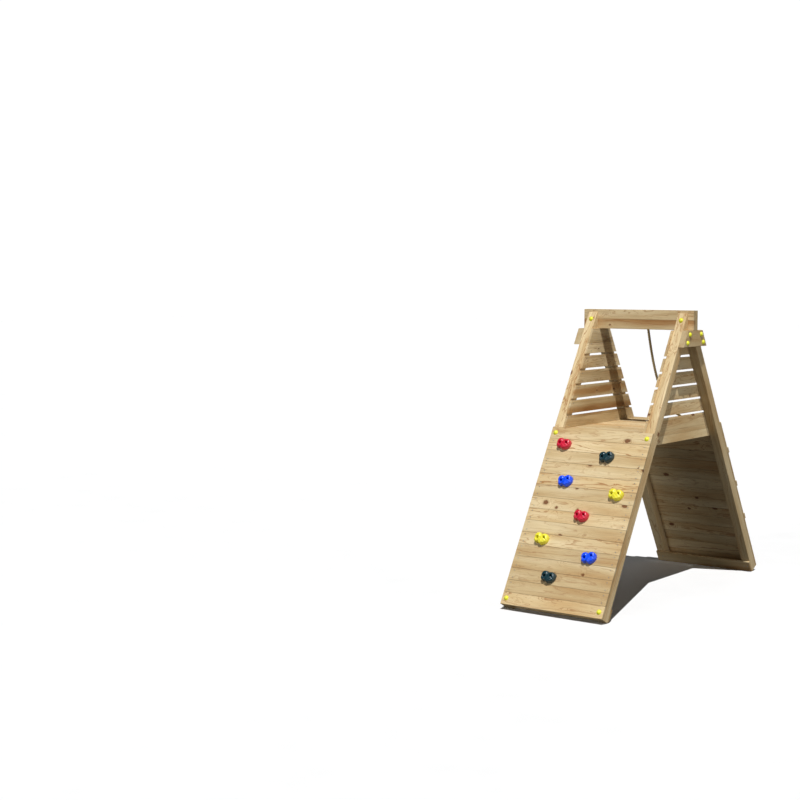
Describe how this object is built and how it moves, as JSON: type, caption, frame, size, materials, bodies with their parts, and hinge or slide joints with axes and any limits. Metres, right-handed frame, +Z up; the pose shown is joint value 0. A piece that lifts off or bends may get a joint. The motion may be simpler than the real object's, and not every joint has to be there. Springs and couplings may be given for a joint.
{
  "type": "rock climbing wall",
  "caption": "Timber A-frame play climber: slatted board wall with grip holds, raised deck between slatted guards, battened ramp and a hanging climbing rope.",
  "frame": {"origin": "on the ground, under the middle of the ridge beam", "axes": "+X along the ridge beam, +Y towards the ramp (the climbing wall faces -Y), +Z up"},
  "size_m": [0.918, 2.3964, 2.045],
  "materials": {
    "pressure_treated_pine": "planed, pressure treated, satin",
    "red_hold_plastic": "moulded, glossy",
    "blue_hold_plastic": "moulded, glossy",
    "yellow_hold_plastic": "moulded, glossy",
    "teal_hold_plastic": "moulded, glossy",
    "zinc_plated_steel": "bright zinc",
    "blackened_steel": "black oxide, oiled",
    "yellow_cap_plastic": "moulded, glossy",
    "brown_rope_fibre": "three-strand laid rope"
  },
  "bodies": {
    "root": {"beam_lamination_lower": "pressure_treated_pine", "beam_lamination_upper": "pressure_treated_pine", "leg_front_left": "pressure_treated_pine", "leg_front_right": "pressure_treated_pine", "leg_rear_left": "pressure_treated_pine", "leg_rear_right": "pressure_treated_pine", "gusset_left": "pressure_treated_pine", "gusset_right": "pressure_treated_pine", "foot_boards": "pressure_treated_pine", "wall_board_01": "pressure_treated_pine", "wall_board_02": "pressure_treated_pine", "wall_board_03": "pressure_treated_pine", "wall_board_04": "pressure_treated_pine", "wall_board_05": "pressure_treated_pine", "wall_board_06": "pressure_treated_pine", "wall_board_07": "pressure_treated_pine", "wall_board_08": "pressure_treated_pine", "wall_board_09": "pressure_treated_pine", "wall_board_10": "pressure_treated_pine", "wall_board_11": "pressure_treated_pine", "wall_board_12": "pressure_treated_pine", "wall_board_13": "pressure_treated_pine", "wall_board_14": "pressure_treated_pine", "wall_board_15": "pressure_treated_pine", "ramp_boards": "pressure_treated_pine", "ramp_battens": "pressure_treated_pine", "deck_boards": "pressure_treated_pine", "deck_bearers": "pressure_treated_pine", "guard_slats_left": "pressure_treated_pine", "guard_slats_right": "pressure_treated_pine", "hold_red_upper": "red_hold_plastic", "hold_red_lower": "red_hold_plastic", "hold_blue_upper": "blue_hold_plastic", "hold_blue_lower": "blue_hold_plastic", "hold_yellow_upper": "yellow_hold_plastic", "hold_yellow_lower": "yellow_hold_plastic", "hold_teal_upper": "teal_hold_plastic", "hold_teal_lower": "teal_hold_plastic", "beam_bolts": "zinc_plated_steel", "coach_screws": "zinc_plated_steel", "board_screws": "zinc_plated_steel", "hold_screws": "blackened_steel", "bolt_caps": "yellow_cap_plastic", "climbing_rope": "brown_rope_fibre", "rope_top_knot": "brown_rope_fibre", "rope_end_knot": "brown_rope_fibre"}
  },
  "joints": []
}
